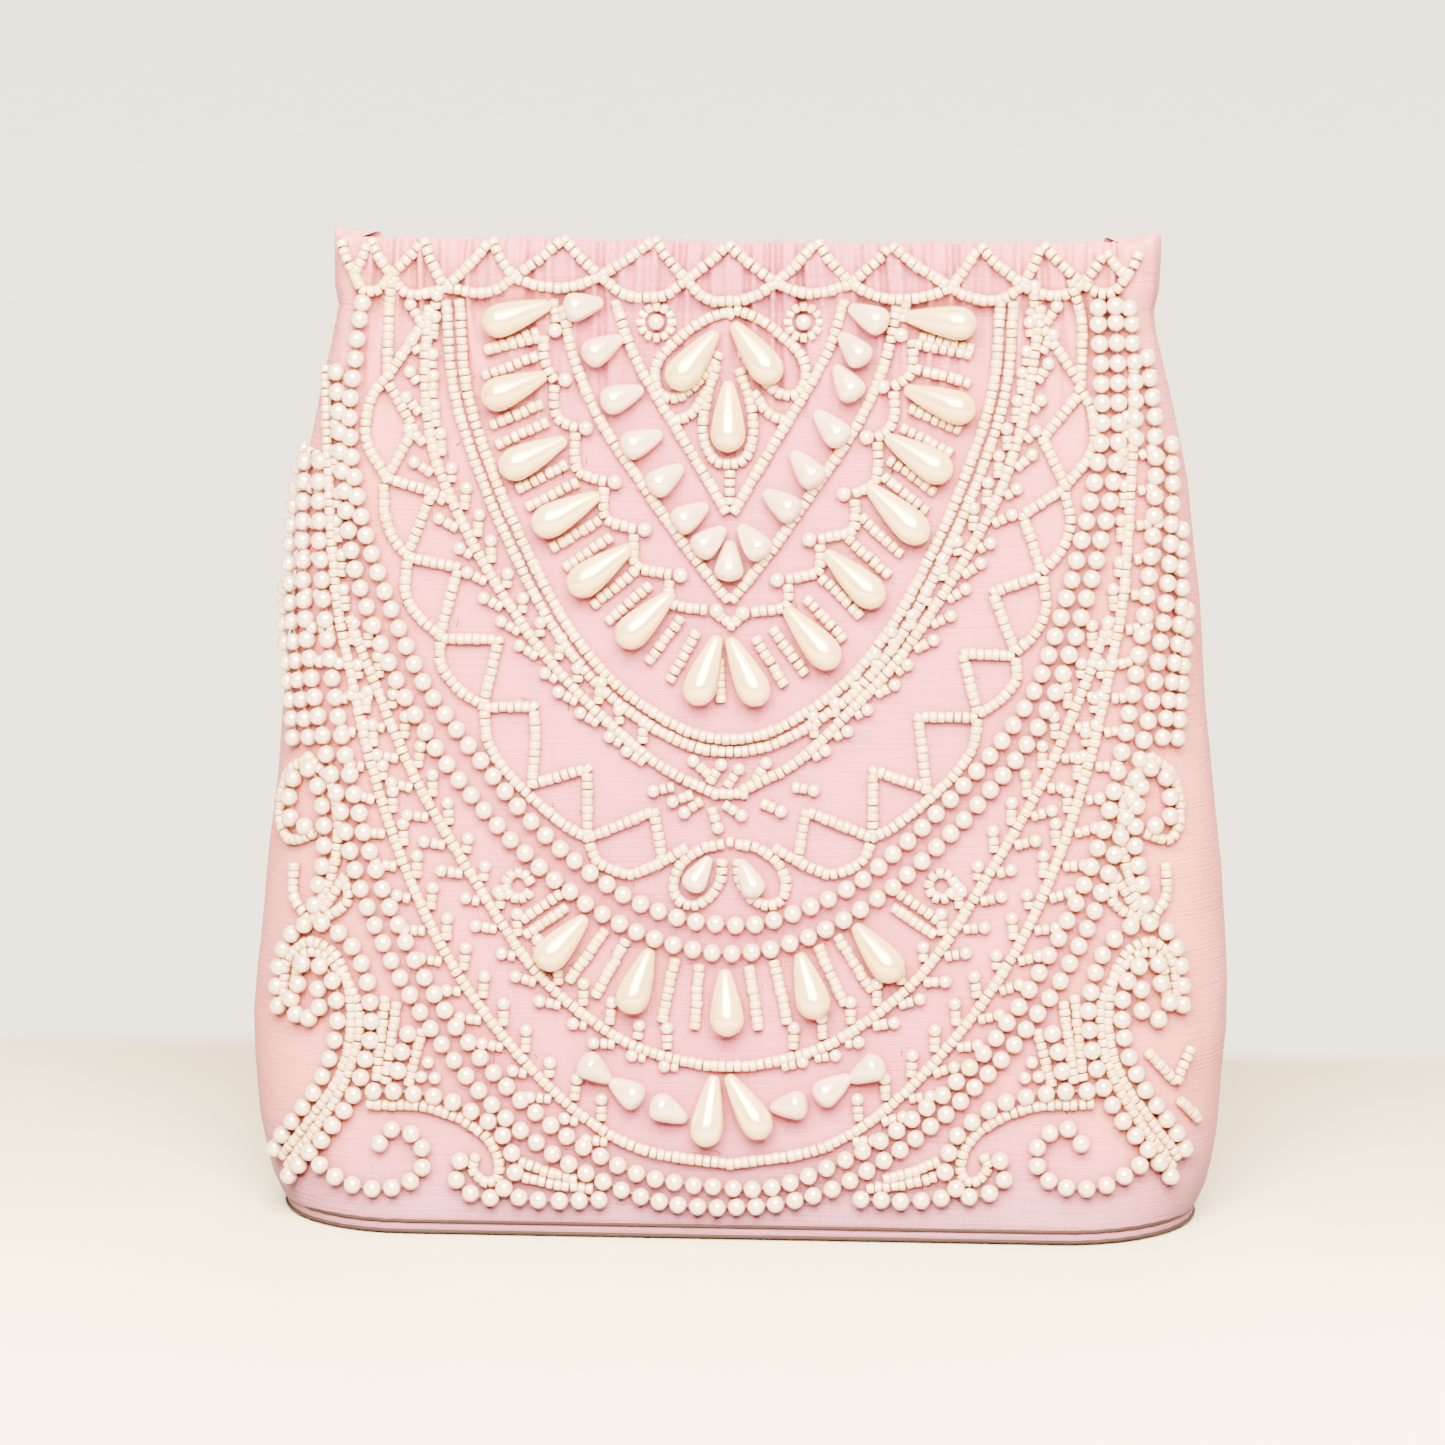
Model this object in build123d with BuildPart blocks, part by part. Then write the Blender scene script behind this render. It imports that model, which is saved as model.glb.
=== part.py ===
from build123d import *
from math import asin, atan2, cos, sin
import os

os.makedirs("parts", exist_ok=True)

# Pouch bag on a flat sole, with a squeeze frame of sprung steel strips in the top hem.
# Millimetres. X is the width, the front is -Y, Z is up, and the origin is the centre of
# the sole's underside. The left half is modelled, and mirrored to the right and the back.

# sole
SOLE_LENGTH = 157.0
SOLE_DEPTH = 45.0
SOLE_THICKNESS = 1.8
BOARD_INSET = 2.6
BOARD_THICKNESS = 1.6
WELT_RADIUS = 0.7

# body of the bag
HINGE_Z = 3.0
WALL_TOP_Z = 159.0
CREASE_TOP_Z = 166.0
WALL_BASE_Y = 22.4
WALL_TOP_Y = 6.2
CREASE_BASE_X = 58.0
PIN_X = 66.2
CREASE_GAP = 1.0
SILK = 1.2
INTERLINING = (1.5, 2.2)
LINING = (2.5, 2.9)

# top hem and squeeze frame
HEM_LOW_Z = 160.2
HEM_TOP_Z = 173.0
HEM_OUTER_Y = 6.2
HEM_INNER_Y = 3.1
POCKET_OUTER_Y = 5.0
POCKET_INNER_Y = 3.9
STRIP_OUTER_Y = 4.7
STRIP_INNER_Y = 4.2
STRIP_LOW_Z = 161.6
STRIP_TOP_Z = 171.4
STRIP_END_X = 60.5
PIN_RADIUS = 1.0
RUNNING_HOLE_RADIUS = 1.05
OPEN_HOLE_RADIUS = 1.65
KNUCKLE_RADIUS = 2.5
EAR_RADIUS = 4.9
EAR_WALL = 0.9

# The walls lean in as they rise. Their outer face runs through the sole's edge and the hem.
LEAN = atan2(WALL_BASE_Y - WALL_TOP_Y, HEM_LOW_Z - HINGE_Z)
FRONT = Plane(
    origin=(0, -WALL_BASE_Y, HINGE_Z), x_dir=(1, 0, 0), z_dir=(0, -cos(LEAN), sin(LEAN))
)
CREASE_RISE = (CREASE_TOP_Z - HINGE_Z) / cos(LEAN)
WALL_RISE = (WALL_TOP_Z - HINGE_Z) / cos(LEAN)


def save(part, label):
    part.label = label
    export_step(part, "parts/" + label + ".step")


def mirrored(piece, about):
    with BuildPart() as copy:
        mirror(piece, about=about)
    return copy.part


def slab(outline, near, far):
    """One flat layer of the front wall, between two depths under its outer face."""
    with BuildPart() as layer:
        with BuildSketch(FRONT.offset(-far)):
            Polygon(*outline, align=None)
        extrude(amount=far - near)
    return layer.part


# ---- sole, on the root body ----

with BuildPart() as sole:
    with BuildSketch():
        SlotOverall(SOLE_LENGTH, SOLE_DEPTH)
    extrude(amount=SOLE_THICKNESS)
save(sole.part, "sole")

with BuildPart() as board:
    with BuildSketch(Plane.XY.offset(SOLE_THICKNESS + 0.05)):
        SlotOverall(SOLE_LENGTH - 8 * BOARD_INSET, SOLE_DEPTH - 5 * BOARD_INSET)
    extrude(amount=BOARD_THICKNESS)
save(board.part, "base_board")

with BuildPart() as floor_lining:
    with BuildSketch(Plane.XY.offset(SOLE_THICKNESS + BOARD_THICKNESS + 0.1)):
        SlotOverall(SOLE_LENGTH - 9 * BOARD_INSET, SOLE_DEPTH - 6 * BOARD_INSET)
    extrude(amount=0.5)
save(floor_lining.part, "base_lining")


def welt_ring(height):
    """A thin cord lying round the sole's edge, with its centre at one height."""
    reach = SOLE_LENGTH / 2 + WELT_RADIUS + 0.02
    turn = SOLE_DEPTH / 2 + WELT_RADIUS + 0.02
    straight = SOLE_LENGTH / 2 - SOLE_DEPTH / 2
    with BuildPart() as ring:
        with BuildLine(Plane.XY.offset(height)) as path:
            front = Line((-straight, -turn), (straight, -turn))
            right = ThreePointArc(front @ 1, (reach, 0), (straight, turn))
            back = Line(right @ 1, (-straight, turn))
            ThreePointArc(back @ 1, (-reach, 0), front @ 0)
        with BuildSketch(Plane(origin=path.line @ 0, z_dir=path.line % 0)):
            Circle(WELT_RADIUS)
        sweep(path=path.line)
    return ring.part


save(welt_ring(0.75), "lower_welt")
save(welt_ring(2.25), "upper_welt")

# ---- front and back walls: outer silk, interlining and lining, creased in three ----


def crease_x(rise):
    """Diagonal crease from the sole's corner up to the middle of the hem."""
    return -CREASE_BASE_X * (1 - rise / CREASE_RISE)


def side_crease_x(rise):
    """Crease from the same corner up to the end pin, where the gusset begins."""
    return -CREASE_BASE_X - (PIN_X - CREASE_BASE_X) * rise / CREASE_RISE


def middle_outline(gap, low, high):
    return [
        (crease_x(low) + gap, low),
        (-crease_x(low) - gap, low),
        (-crease_x(high) - gap, high),
        (crease_x(high) + gap, high),
    ]


def left_outline(gap, high):
    corner = 2 * gap * CREASE_RISE / PIN_X
    return [
        (side_crease_x(corner) + gap, corner),
        (crease_x(high) - gap, high),
        (side_crease_x(high) + gap, high),
    ]


LAYERS = {
    "panel": (0.0, SILK, CREASE_GAP),
    "interlining": (*INTERLINING, CREASE_GAP + 0.2),
    "lining": (*LINING, CREASE_GAP + 0.4),
}
for layer_name, (near, far, gap) in LAYERS.items():
    top = WALL_RISE - 2 * near
    middle = slab(middle_outline(gap, 0.5, top - 1.5), near, far)
    left = slab(left_outline(gap, top), near, far)
    right = mirrored(left, Plane.YZ)
    save(middle, "front_" + layer_name + "_middle")
    save(left, "front_" + layer_name + "_left")
    save(right, "front_" + layer_name + "_right")
    save(mirrored(middle, Plane.XZ), "back_" + layer_name + "_middle")
    save(mirrored(left, Plane.XZ), "back_" + layer_name + "_left")
    save(mirrored(right, Plane.XZ), "back_" + layer_name + "_right")

# ---- hem sleeves and the squeeze frame inside them ----

with BuildPart() as hem:
    with BuildSketch(Plane.YZ.offset(-STRIP_END_X)):
        with Locations((-(HEM_OUTER_Y + HEM_INNER_Y) / 2, (HEM_LOW_Z + HEM_TOP_Z) / 2)):
            RectangleRounded(HEM_OUTER_Y - HEM_INNER_Y, HEM_TOP_Z - HEM_LOW_Z, 1.2)
        with Locations(
            (-(POCKET_OUTER_Y + POCKET_INNER_Y) / 2, (STRIP_LOW_Z + STRIP_TOP_Z) / 2)
        ):
            Rectangle(
                POCKET_OUTER_Y - POCKET_INNER_Y,
                STRIP_TOP_Z - STRIP_LOW_Z + 0.8,
                mode=Mode.SUBTRACT,
            )
    extrude(amount=STRIP_END_X - 0.9)
hem_left = hem.part
hem_right = mirrored(hem_left, Plane.YZ)
save(hem_left, "front_hem_left")
save(hem_right, "front_hem_right")
save(mirrored(hem_left, Plane.XZ), "back_hem_left")
save(mirrored(hem_right, Plane.XZ), "back_hem_right")


def steel_strip(knuckles, hole_radius):
    """Front left strip with rolled knuckles at its end, each between two heights."""
    with BuildPart() as strip:
        with BuildSketch(Plane.XY.offset(STRIP_LOW_Z)):
            with Locations((-(STRIP_END_X + 1.3) / 2, -(STRIP_OUTER_Y + STRIP_INNER_Y) / 2)):
                Rectangle(STRIP_END_X - 1.3, STRIP_OUTER_Y - STRIP_INNER_Y)
        extrude(amount=STRIP_TOP_Z - STRIP_LOW_Z)
        for low, high in knuckles:
            with BuildSketch(Plane.XY.offset(low)):
                Polygon(
                    (-STRIP_END_X, -STRIP_INNER_Y),
                    (-STRIP_END_X, -STRIP_OUTER_Y),
                    (-PIN_X, -2.3),
                    (-PIN_X + 0.6, -1.7),
                    align=None,
                )
                with Locations((-PIN_X, 0)):
                    Circle(KNUCKLE_RADIUS)
                    Circle(hole_radius, mode=Mode.SUBTRACT)
            extrude(amount=high - low)
    return strip.part


front_strip = steel_strip([(161.6, 164.7), (168.3, 171.4)], RUNNING_HOLE_RADIUS)
back_strip = mirrored(steel_strip([(165.2, 167.8)], OPEN_HOLE_RADIUS), Plane.XZ)
save(front_strip, "front_strip_left")
save(mirrored(front_strip, Plane.YZ), "front_strip_right")
save(back_strip, "back_strip_left")
save(mirrored(back_strip, Plane.YZ), "back_strip_right")

with BuildPart() as pin:
    with BuildSketch(Plane.XY.offset(160.9)):
        with Locations((-PIN_X, 0)):
            Circle(1.7)
    extrude(amount=0.6)
    with BuildSketch(Plane.XY.offset(161.5)):
        with Locations((-PIN_X, 0)):
            Circle(PIN_RADIUS)
    extrude(amount=10.0)
    with BuildSketch(Plane.XY.offset(171.5)):
        with Locations((-PIN_X, 0)):
            Circle(1.7)
    extrude(amount=0.6)
save(pin.part, "end_pin_left")
save(mirrored(pin.part, Plane.YZ), "end_pin_right")

# ---- side gussets, their lining, and the fabric ears round the end pins ----

GUSSET_LEVELS = (3.6, 30.0, 75.0, 110.0, 145.0, 157.0)
HALF_WIDTHS = (80.2, 83.3, 80.9, 78.3, 74.8, 72.0)


def gusset_section(level, half_width, inset, lip):
    """Half oval from the front crease round the side to the back crease, at one height."""
    rise = (level - HINGE_Z) / cos(LEAN)
    edge_x = side_crease_x(rise) - CREASE_GAP
    reach = half_width + edge_x - inset
    depth = WALL_BASE_Y - (level - HINGE_Z) * (WALL_BASE_Y - WALL_TOP_Y) / 157.2 - inset
    with BuildSketch(Plane.XY.offset(level)) as section:
        with BuildLine():
            bend = EllipticalCenterArc((edge_x, 0), reach, depth, start_angle=90, arc_size=180)
            if lip > 0:
                Polyline(bend @ 1, (edge_x + lip, -depth), (edge_x + lip, depth), bend @ 0)
            else:
                Line(bend @ 1, bend @ 0)
        make_face()
    return section.sketch


def gusset_shell(outer_inset, inner_inset):
    with BuildPart() as inside:
        loft([gusset_section(z, w, inner_inset, 4) for z, w in zip(GUSSET_LEVELS, HALF_WIDTHS)])
    with BuildPart() as shell:
        loft([gusset_section(z, w, outer_inset, 0) for z, w in zip(GUSSET_LEVELS, HALF_WIDTHS)])
        add(inside.part, mode=Mode.SUBTRACT)
    return shell.part


gusset = gusset_shell(0.0, SILK)
gusset_lining = gusset_shell(SILK + 0.3, SILK + 0.8)
save(gusset, "gusset_left")
save(mirrored(gusset, Plane.YZ), "gusset_right")
save(gusset_lining, "gusset_lining_left")
save(mirrored(gusset_lining, Plane.YZ), "gusset_lining_right")

with BuildPart() as ear:
    with BuildSketch(Plane.XY.offset(158.2)):
        with Locations((-PIN_X, 0)):
            Circle(EAR_RADIUS)
            Circle(EAR_RADIUS - EAR_WALL, mode=Mode.SUBTRACT)
            with Locations((-0.8, 0)):
                Rectangle(20, 20, align=(Align.MIN, Align.CENTER), mode=Mode.SUBTRACT)
    extrude(amount=HEM_TOP_Z - 158.2)
save(ear.part, "ear_left")
save(mirrored(ear.part, Plane.YZ), "ear_right")

# ---- pearl drops sewn on the front ----

LARGE = (13.2, 2.6)
SMALL = (7.0, 1.9)


def pearl_drops(ends, size):
    """Teardrop pearls lying on the front wall, each from its tip towards its fat end."""
    length, radius = size
    surface = FRONT.offset(radius + 0.06)
    centre = length - radius
    taper = asin((radius - 0.35) / centre)
    shoulder = (centre - radius * sin(taper), radius * cos(taper))
    brow = (centre + radius * sin(0.7), radius * cos(0.7))
    with BuildPart() as drops:
        for (tip_x, tip_z), (end_x, end_z) in ends:
            angle = atan2(end_z - tip_z, end_x - tip_x)
            lying = Plane(
                origin=surface.from_local_coords((tip_x, (tip_z - HINGE_Z) / cos(LEAN), 0)),
                x_dir=surface.x_dir * cos(angle) + surface.y_dir * sin(angle),
                z_dir=surface.z_dir,
            )
            with BuildSketch(lying):
                with BuildLine():
                    Polyline((length, 0), (0, 0), (0, 0.35), shoulder)
                    ThreePointArc(shoulder, brow, (length, 0))
                make_face()
            revolve(axis=Axis(lying.origin, lying.x_dir))
    return drops.part


# tip and direction point of each drop, as (x, z) on the front
FAN_LEFT = [
    ((-31.0, 160.0), (-42.5, 157.0)),
    ((-31.2, 147.8), (-42.8, 143.5)),
    ((-27.8, 138.0), (-39.0, 132.0)),
    ((-23.5, 129.0), (-34.0, 121.5)),
    ((-17.0, 118.8), (-27.0, 110.8)),
]
FAN_INNER = [((-9.8, 110.2), (-18.8, 101.0)), ((-1.9, 103.5), (-6.0, 92.0))]
HEART_LEFT = [
    ((-21.2, 160.8), (-27.8, 159.0)),
    ((-19.0, 155.8), (-24.5, 151.8)),
    ((-16.8, 148.5), (-22.0, 144.5)),
    ((-13.5, 140.8), (-19.2, 136.8)),
]
HEART_INNER = [
    ((-9.5, 134.2), (-14.8, 129.5)),
    ((-4.5, 127.2), (-10.5, 123.8)),
    ((-1.2, 122.8), (-6.0, 118.0)),
]
LOWER_FAN = [((-23.2, 54.2), (-31.0, 45.2)), ((-13.0, 48.8), (-16.8, 38.0))]
FOOT = [
    ((-21.0, 26.2), (-26.0, 29.8)),
    ((-20.6, 24.6), (-15.2, 23.0)),
    ((-7.2, 20.5), (-13.2, 22.8)),
    ((-3.2, 65.0), (-6.2, 59.4)),
]


def both_halves(ends):
    return ends + [((-a, b), (-c, d)) for (a, b), (c, d) in ends]


def far_half(ends):
    return [((-a, b), (-c, d)) for (a, b), (c, d) in ends]


save(pearl_drops(FAN_LEFT, LARGE), "fan_drops_left")
save(pearl_drops(far_half(FAN_LEFT), LARGE), "fan_drops_right")
save(pearl_drops(both_halves(FAN_INNER), LARGE), "fan_drops_middle")
save(pearl_drops(HEART_LEFT, SMALL), "heart_drops_left")
save(pearl_drops(far_half(HEART_LEFT), SMALL), "heart_drops_right")
save(
    pearl_drops(both_halves(HEART_INNER) + [((0, 120.0), (0, 113.0))], SMALL),
    "heart_drops_middle",
)
save(
    pearl_drops(both_halves(LOWER_FAN) + [((0, 45.6), (0, 34.5))], LARGE),
    "lower_fan_drops",
)
save(pearl_drops(both_halves(FOOT), SMALL), "foot_drops")
save(
    pearl_drops([((-2.6, 27.0), (-4.4, 15.0)), ((1.2, 27.0), (5.5, 17.0))], (12.0, 2.1)),
    "centre_foot_drops",
)
save(
    pearl_drops(
        [
            ((-2.6, 157.0), (-9.6, 147.4)),
            ((2.6, 157.6), (9.2, 148.0)),
            ((0, 148.2), (0, 136.0)),
        ],
        (11.8, 2.2),
    ),
    "trefoil_drops",
)
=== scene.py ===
import bmesh
import bpy
import math
import random
import numpy as np
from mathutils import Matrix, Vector, noise


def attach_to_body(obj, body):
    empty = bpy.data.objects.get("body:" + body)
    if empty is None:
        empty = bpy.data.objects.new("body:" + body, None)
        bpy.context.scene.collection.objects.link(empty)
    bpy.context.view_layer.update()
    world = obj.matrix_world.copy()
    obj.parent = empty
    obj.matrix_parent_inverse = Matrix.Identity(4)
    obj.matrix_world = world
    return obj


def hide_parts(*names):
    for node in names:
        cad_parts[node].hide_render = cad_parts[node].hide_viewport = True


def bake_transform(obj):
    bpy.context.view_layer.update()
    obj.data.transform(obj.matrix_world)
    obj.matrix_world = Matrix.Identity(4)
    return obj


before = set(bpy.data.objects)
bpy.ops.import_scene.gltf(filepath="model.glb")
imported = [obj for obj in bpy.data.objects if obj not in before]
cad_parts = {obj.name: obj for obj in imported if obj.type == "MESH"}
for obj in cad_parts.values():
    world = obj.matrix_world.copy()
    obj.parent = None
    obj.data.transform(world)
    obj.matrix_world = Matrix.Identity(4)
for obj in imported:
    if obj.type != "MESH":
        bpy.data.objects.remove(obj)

MM = 0.001
rng = random.Random(11)
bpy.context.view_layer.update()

# ----- the bag's surface, in mm

PIN_X = 66.2
CORNER_X = 58.0
HEM_LOW = 158


def clamp(value, low=0.0, high=1.0):
    return max(low, min(high, value))


def smooth(value, low, high):
    t = clamp((value - low) / (high - low))
    return t * t * (3 - 2 * t)


def corner(z):
    """Where the flat front turns into the rounded side."""
    return CORNER_X + (PIN_X - CORNER_X) * clamp((z - 3) / 163.0)


# Half widths of the outline and half depths of the flat faces, at heights.
WIDTH_Z = (0, 2, 5.5, 10, 16, 25, 34, 42, 52, 62, 75, 90, 110, 130, 145, 152, 156, 159, 163, 174)
WIDTH_LEFT = (
    79.6, 80.6, 82.4, 83.6, 84.8, 85.3, 85.4, 84.8, 83.7, 82.5,
    81.0, 79.5, 77.6, 75.4, 72.4, 70.6, 69.8, 69.2, 69.9, 69.8,
)
WIDTH_RIGHT = (
    79.4, 80.2, 81.9, 83.0, 83.9, 84.4, 85.3, 85.2, 84.6, 84.0,
    82.6, 80.9, 79.6, 77.2, 74.2, 72.6, 71.6, 71.2, 72.0, 72.2,
)
DEPTH_Z = (0, 3, 157, 159.3, 162.5, 167.5, 170, 171.6)
DEPTH_Y = (22.4, 22.4, 6.5, 5.9, 6.5, 6.4, 5.7, 4.6)


def half_width(z, x=1.0):
    return float(np.interp(z, WIDTH_Z, WIDTH_LEFT if x < 0 else WIDTH_RIGHT))


def depth(z):
    return float(np.interp(z, DEPTH_Z, DEPTH_Y))


def puff(x, z):
    """Soft unevenness of the padded silk, outwards."""
    fade = smooth(z, 2, 14)
    big = noise.noise(Vector((x * 0.028, z * 0.024, 3.1))) * 0.9
    small = noise.noise(Vector((x * 0.09, z * 0.08, 9.4))) * 0.32
    crown = 0.9 * math.cos(clamp(abs(x) / 70.0) * math.pi / 2) * math.sin(math.pi * clamp(z / 165.0))
    return fade * (big + small + crown) * (0.45 if z > HEM_LOW else 1.0)


def skin_y(x, z):
    """Depth of the outer skin at x and z, as a positive distance from the middle plane."""
    c, w, d = corner(z), half_width(z, x), depth(z)
    over = abs(x) - c
    if over <= 0:
        return d + puff(x, z)
    turn = math.sqrt(max(0.0, 1 - (over / (w - c)) ** 2))
    return d * turn + puff(x, z) * turn


def skin(x, z, lift=0.0, side=-1):
    """Point and outward normal of the skin, front (side -1) or back (side 1)."""
    w = half_width(z, x) - 0.02
    x = clamp(x, -w, w)
    xs = (clamp(x - 0.35, -w, w), clamp(x + 0.35, -w, w))
    y = skin_y(x, z)
    dx = (skin_y(xs[1], z) - skin_y(xs[0], z)) / max(1e-6, xs[1] - xs[0])
    dz = (skin_y(x, z + 1.5) - skin_y(x, z - 1.5)) / 3.0
    n = Vector((-dx, side, -dz)).normalized()
    return Vector((x, side * y, z)) + n * lift, n


# The embroidery is drawn as it looks from slightly above and to the right, in mm.
AZIMUTH, ELEVATION, DISTANCE = math.radians(4.0), math.radians(11.0), 1250.0
TARGET = Vector((-2.9, 0.0, 86.35))
BACKWARDS = Vector((
    math.sin(AZIMUTH) * math.cos(ELEVATION), -math.cos(AZIMUTH) * math.cos(ELEVATION), math.sin(ELEVATION)
))
RIGHTWARDS = Vector((math.cos(AZIMUTH), math.sin(AZIMUTH), 0.0))
UPWARDS = BACKWARDS.cross(RIGHTWARDS)
DRAWING_X, DRAWING_Z = -1.3, 88.6
FRAME_WIDTH = 251.3  # what the picture spans at the bag
RELAX = 0.92  # how much of its error on_cloth takes away each time


def drawn(point):
    """Where a point of the cloth is in the drawing."""
    v = point - (TARGET + BACKWARDS * DISTANCE)
    size = DISTANCE / -v.dot(BACKWARDS)
    return DRAWING_X + v.dot(RIGHTWARDS) * size, DRAWING_Z + v.dot(UPWARDS) * size


def on_cloth(x, z, height=0.9):
    """Where on the cloth something lies that is drawn at x and z, its middle at a height above it."""
    a, b = x, z
    for _ in range(4):
        w = half_width(b, a) - 0.3
        a = clamp(a, -w, w)
        u, v = drawn(skin(a, b, height)[0])
        a, b = a + (x - u) * RELAX, b + (z - v) * RELAX
    w = half_width(b, a) - 0.3
    return clamp(a, -w, w), b


# ----- mesh building


def tube_faces(rings, around, closed=False, base=0, flip=False):
    """Quads between rings of points that follow each other."""
    faces = []
    for i in range(rings if closed else rings - 1):
        a, b = base + i * around, base + (i + 1) % rings * around
        for k in range(around):
            m = (k + 1) % around
            faces.append((a + k, b + k, b + m, a + m) if flip else (a + k, a + m, b + m, b + k))
    return faces


def linked(name, data):
    """A new object in the scene with this data."""
    obj = bpy.data.objects.new(name, data)
    bpy.context.scene.collection.objects.link(obj)
    return obj


def mesh_object(name, verts, faces, smooth_shade=True):
    mesh = bpy.data.meshes.new(name)
    mesh.from_pydata([tuple(v) for v in verts], [], faces)
    mesh.polygons.foreach_set("use_smooth", [smooth_shade] * len(mesh.polygons))
    mesh.update()
    return linked(name, mesh)


def lathe(profile, segments, closed=False):
    """Verts and quads of a profile of (x, r) turned round the X axis."""
    verts = []
    n = len(profile)
    for x, r in profile:
        for k in range(segments):
            a = 2 * math.pi * k / segments
            verts.append((x, r * math.cos(a), r * math.sin(a)))
    faces = tube_faces(n, segments, closed, flip=True)
    if not closed:
        faces.append(tuple(range(segments)))
        faces.append(tuple((n - 1) * segments + k for k in reversed(range(segments))))
    return np.array(verts), faces


def instanced(name, template, places):
    """One mesh of many copies of a template; each place is (centre, x axis, z axis, scales)."""
    base, faces = template
    count = len(base)
    sizes = np.array([len(f) for f in faces], dtype=np.int32)
    loops = np.concatenate([np.array(f, dtype=np.int32) for f in faces])
    blocks, indices = [], []
    for i, (centre, along, up, scale) in enumerate(places):
        x = Vector(along).normalized()
        z = (Vector(up) - x * Vector(up).dot(x)).normalized()
        y = z.cross(x)
        turn = np.array([list(x), list(y), list(z)])
        blocks.append((base * np.array(scale)) @ turn + np.array(centre))
        indices.append(loops + i * count)
    verts = np.concatenate(blocks) * MM
    all_loops = np.concatenate(indices)
    all_sizes = np.tile(sizes, len(places))
    mesh = bpy.data.meshes.new(name)
    mesh.vertices.add(len(verts))
    mesh.vertices.foreach_set("co", verts.astype(np.float32).ravel())
    mesh.loops.add(len(all_loops))
    mesh.loops.foreach_set("vertex_index", all_loops)
    mesh.polygons.add(len(all_sizes))
    starts = np.concatenate([[0], np.cumsum(all_sizes)[:-1]]).astype(np.int32)
    mesh.polygons.foreach_set("loop_start", starts)
    mesh.polygons.foreach_set("use_smooth", np.ones(len(all_sizes), dtype=bool))
    mesh.update(calc_edges=True)
    mesh.validate()
    return linked(name, mesh)


def grid(name, rows):
    """Quad sheet through rows of equal length, each a list of mm points."""
    wide = len(rows[0])
    verts = [Vector(p) * MM for row in rows for p in row]
    faces = []
    for i in range(len(rows) - 1):
        for j in range(wide - 1):
            a = i * wide + j
            faces.append((a, a + 1, a + wide + 1, a + wide))
    return mesh_object(name, verts, faces)


def path(text):
    """Points written as pairs, such as the x,z of the drawing."""
    return [tuple(map(float, pair.split(","))) for pair in text.split()]


def paths(text):
    """Several paths, with a semicolon between them."""
    return [path(part) for part in text.split(";")]


# Profiles of (x, r). Seeds and pearls are 1 across; a drop is 1 long and its radius is 1.
SEED = lathe(path("""
    -0.43,0.17 -0.5,0.27 -0.49,0.41 -0.4,0.475 -0.2,0.5 0.2,0.5 0.4,0.475 0.49,0.41 0.5,0.27 0.43,0.17
"""), 12, True)
PEARL = lathe([(0.5 * -math.cos(math.pi * i / 10), 0.5 * math.sin(math.pi * i / 10)) for i in range(1, 10)], 16)
DROP = lathe(path("""
    0,0.08 0.006,0.22 0.03,0.33 0.08,0.42 0.18,0.54 0.3,0.68 0.42,0.8 0.54,0.9
    0.64,0.965 0.73,1 0.81,0.97 0.88,0.86 0.94,0.66 0.98,0.38 1,0.06
"""), 24)

# ----- strands of beads

SEED_LONG, SEED_WIDE, SEED_PITCH = 1.31, 1.95, 1.34
PEARL_WIDE, PEARL_PITCH = 3.14, 3.4
seeds, pearls, drops, cores = [], [], [], []


def spline(points, closed=False):
    """Smooth dense line through control points, as (x, z)."""
    pts = [np.array(p, float) for p in points]
    n = len(pts)
    if n == 2:
        return [tuple(pts[0] + (pts[1] - pts[0]) * t) for t in np.linspace(0, 1, 6)]
    out = []
    spans = n if closed else n - 1
    for i in range(spans):
        if closed:
            p0, p1, p2, p3 = (pts[(i + k - 1) % n] for k in range(4))
        else:
            p1, p2 = pts[i], pts[i + 1]
            p0 = pts[i - 1] if i > 0 else 2 * p1 - p2
            p3 = pts[i + 2] if i + 2 < n else 2 * p2 - p1
        for t in np.linspace(0, 1, 8, endpoint=False):
            t2, t3 = t * t, t * t * t
            out.append(tuple(0.5 * (
                2 * p1 + (p2 - p0) * t + (2 * p0 - 5 * p1 + 4 * p2 - p3) * t2 + (3 * p1 - p0 - 3 * p2 + p3) * t3
            )))
    out.append(tuple(pts[0] if closed else pts[-1]))
    return out


def straight(points):
    out = []
    for a, b in zip(points, points[1:]):
        a, b = np.array(a, float), np.array(b, float)
        out += [tuple(a + (b - a) * t) for t in np.linspace(0, 1, 4, endpoint=False)]
    out.append(tuple(points[-1]))
    return out


def stations(line, lengths, pitch, start=0.0):
    """Evenly spaced stations along a line whose parts have these lengths: (x, z, direction in x and z)."""
    run = [0.0]
    for length in lengths:
        run.append(run[-1] + length)
    total = run[-1]
    count = max(1, int(round((total - 2 * start) / pitch)))
    step = (total - 2 * start) / count
    xs, zs = [p[0] for p in line], [p[1] for p in line]
    out = []
    for k in range(count + 1):
        s = start + k * step
        ahead, back = min(total, s + 0.6), max(0.0, s - 0.6)
        tx = float(np.interp(ahead, run, xs) - np.interp(back, run, xs))
        tz = float(np.interp(ahead, run, zs) - np.interp(back, run, zs))
        out.append((float(np.interp(s, run, xs)), float(np.interp(s, run, zs)), tx, tz))
    return out


def along_skin(line, pitch, side=-1, start=0.0):
    spots = [skin(x, z, 0, side)[0] for x, z in line]
    return stations(line, [(b - a).length for a, b in zip(spots, spots[1:])], pitch, start)


def along_drawing(line, pitch):
    return stations(line, [math.hypot(b[0] - a[0], b[1] - a[1]) for a, b in zip(line, line[1:])], pitch)


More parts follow.
